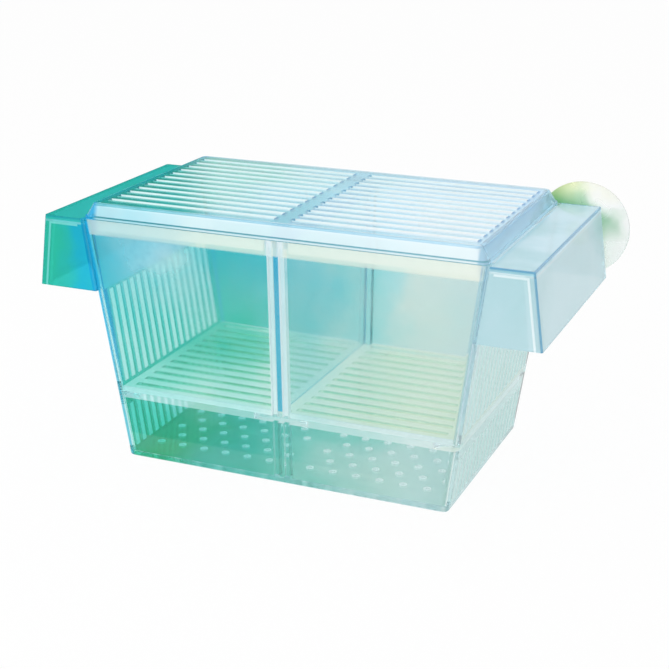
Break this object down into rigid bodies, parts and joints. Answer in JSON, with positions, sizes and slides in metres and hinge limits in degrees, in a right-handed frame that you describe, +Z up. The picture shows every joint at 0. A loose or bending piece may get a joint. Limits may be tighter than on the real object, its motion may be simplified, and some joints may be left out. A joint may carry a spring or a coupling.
{
  "type": "fish breeding box",
  "caption": "Clear tapered breeding box for fish, hung in an aquarium by two wings and a suction cup, with a slotted lid, a lift-out divider and slotted false floors.",
  "frame": {"origin": "centre of the tub's flat underside", "axes": "+X along the tub towards the wing that carries the suction cup, +Y to the back wall and the cup's sealing face, +Z up"},
  "size_m": [0.2143, 0.1084, 0.1075],
  "materials": {
    "tank_plastic": "clear moulded, lightly tinted",
    "lid_plastic": "clear moulded, lightly tinted",
    "divider_plastic": "clear moulded, lightly tinted",
    "left_shelf_plastic": "clear moulded, pale green",
    "right_shelf_plastic": "clear moulded, pale green",
    "cup_rubber": "soft translucent"
  },
  "bodies": {
    "tank": {"tank": "tank_plastic"},
    "lid": {"lid": "lid_plastic"},
    "divider": {"divider": "divider_plastic"},
    "left_shelf": {"left_shelf": "left_shelf_plastic"},
    "right_shelf": {"right_shelf": "right_shelf_plastic"},
    "suction_cup": {"suction_cup": "cup_rubber"}
  },
  "joints": [
    {"name": "lid_lift", "type": "slide", "parent": "tank", "child": "lid", "axis": [0, 0, 1], "range_m": [0, 0.18]},
    {"name": "divider_lift", "type": "slide", "parent": "tank", "child": "divider", "axis": [0, 0, 1], "range_m": [0, 0.135]},
    {"name": "left_shelf_lift", "type": "slide", "parent": "tank", "child": "left_shelf", "axis": [0, 0, 1], "range_m": [0, 0.0756]},
    {"name": "right_shelf_lift", "type": "slide", "parent": "tank", "child": "right_shelf", "axis": [0, 0, 1], "range_m": [0, 0.0756]},
    {"name": "cup_spin", "type": "hinge", "parent": "tank", "child": "suction_cup", "pos_m": [0.0908, 0.0492, 0.088], "axis": [0, 1, 0], "continuous": true}
  ],
  "couplings": [
    {"joint": "divider_lift", "follows": "lid_lift", "ratio": 0.75},
    {"joint": "left_shelf_lift", "follows": "lid_lift", "ratio": 0.42},
    {"joint": "right_shelf_lift", "follows": "lid_lift", "ratio": 0.42}
  ]
}
